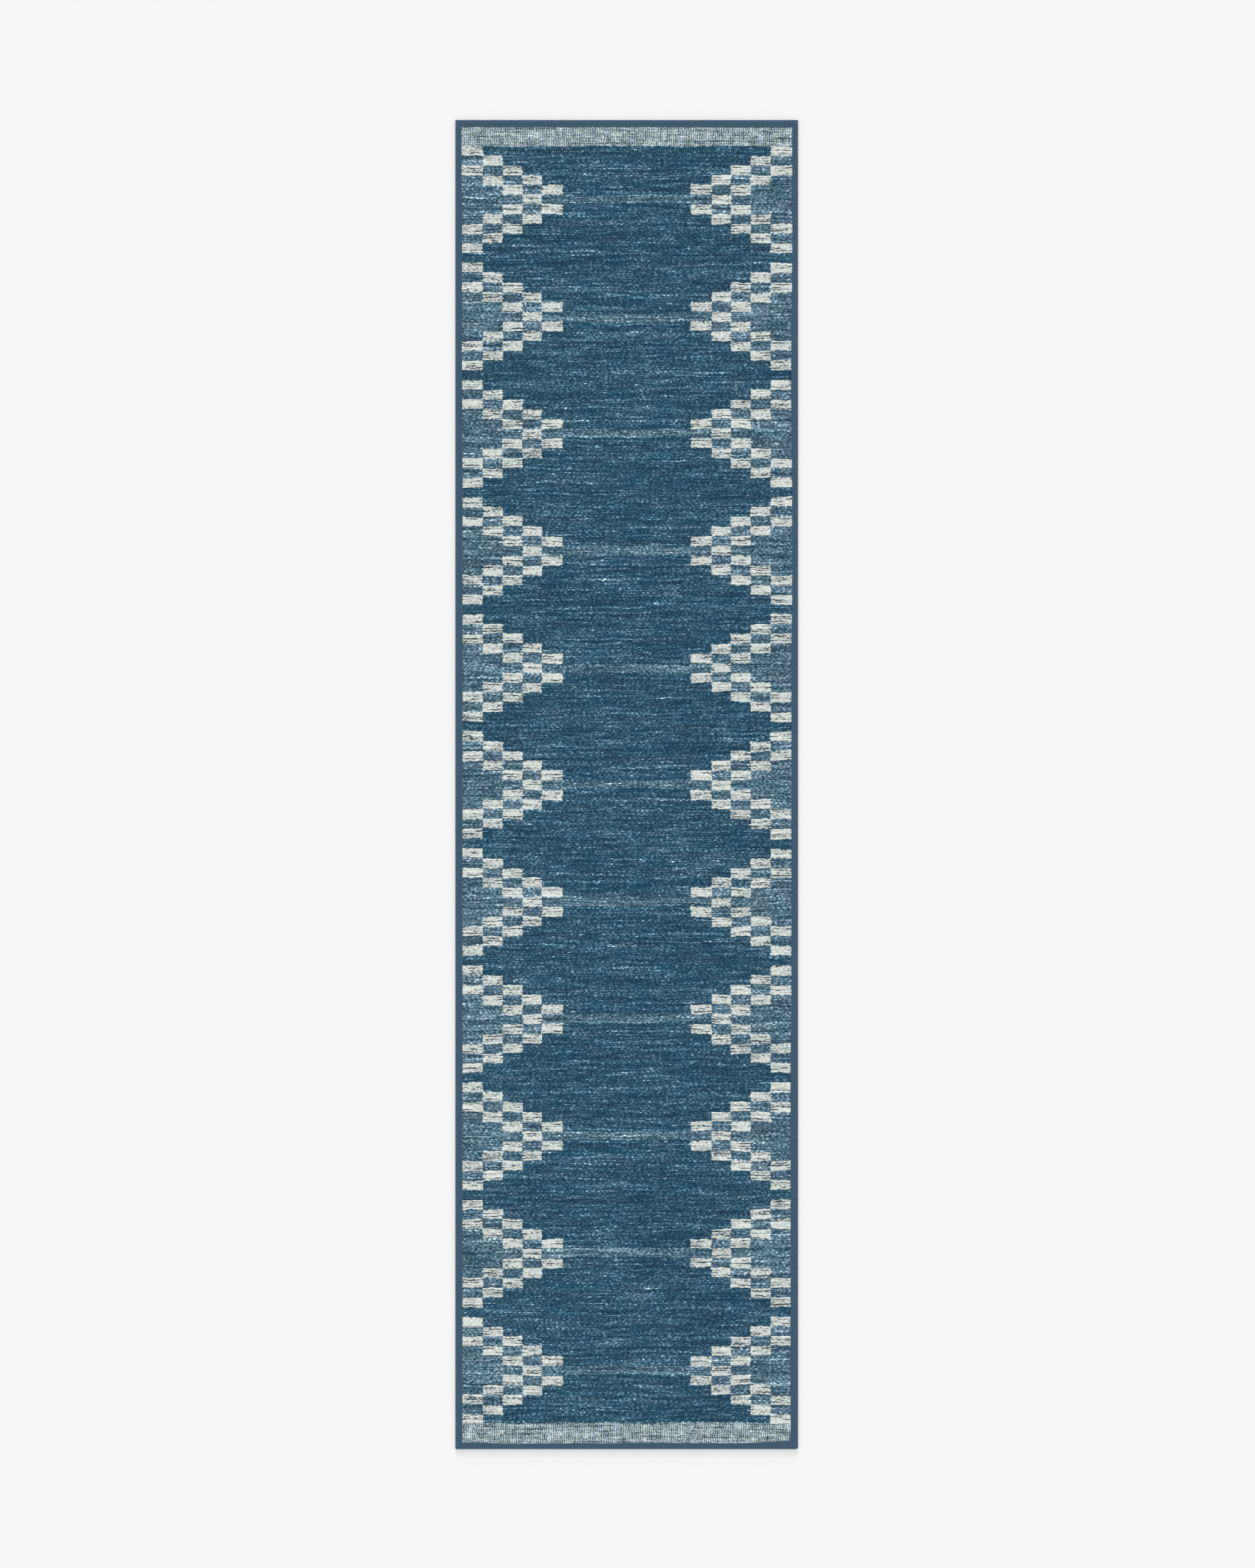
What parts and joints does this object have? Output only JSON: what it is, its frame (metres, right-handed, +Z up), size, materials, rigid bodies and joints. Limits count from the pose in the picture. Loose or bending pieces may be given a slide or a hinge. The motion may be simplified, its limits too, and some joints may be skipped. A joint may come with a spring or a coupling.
{
  "type": "runner rug",
  "caption": "Long flat woven runner rug with a stepped zigzag border motif down both sides, ribbed end stripes and a plain tape bound round all edges.",
  "frame": {"origin": "centre of the underside, on the floor", "axes": "+Y along the rug, +X across it, +Z up out of the woven face"},
  "size_m": [0.775, 3.008, 0.0056],
  "materials": {
    "face_weave": "heathered flat weave in teal, light blue and off-white",
    "latex_bond": "dull latex coat",
    "backing_felt": "pale grey needle felt",
    "grip_rubber": "matt anti-slip coat",
    "binding_tape": "plain slate-blue twill tape",
    "seam_thread": "slate-blue polyester thread",
    "label_satin": "white satin, blank"
  },
  "bodies": {
    "root": {"face_cloth": "face_weave", "bonding_coat": "latex_bond", "backing_cloth": "backing_felt", "grip_coat": "grip_rubber", "binding_left": "binding_tape", "binding_right": "binding_tape", "binding_top_end": "binding_tape", "binding_bottom_end": "binding_tape", "needle_thread_left": "seam_thread", "needle_thread_right": "seam_thread", "needle_thread_top_end": "seam_thread", "needle_thread_bottom_end": "seam_thread", "bobbin_thread_left": "seam_thread", "bobbin_thread_right": "seam_thread", "bobbin_thread_top_end": "seam_thread", "bobbin_thread_bottom_end": "seam_thread", "care_label": "label_satin"}
  },
  "joints": []
}
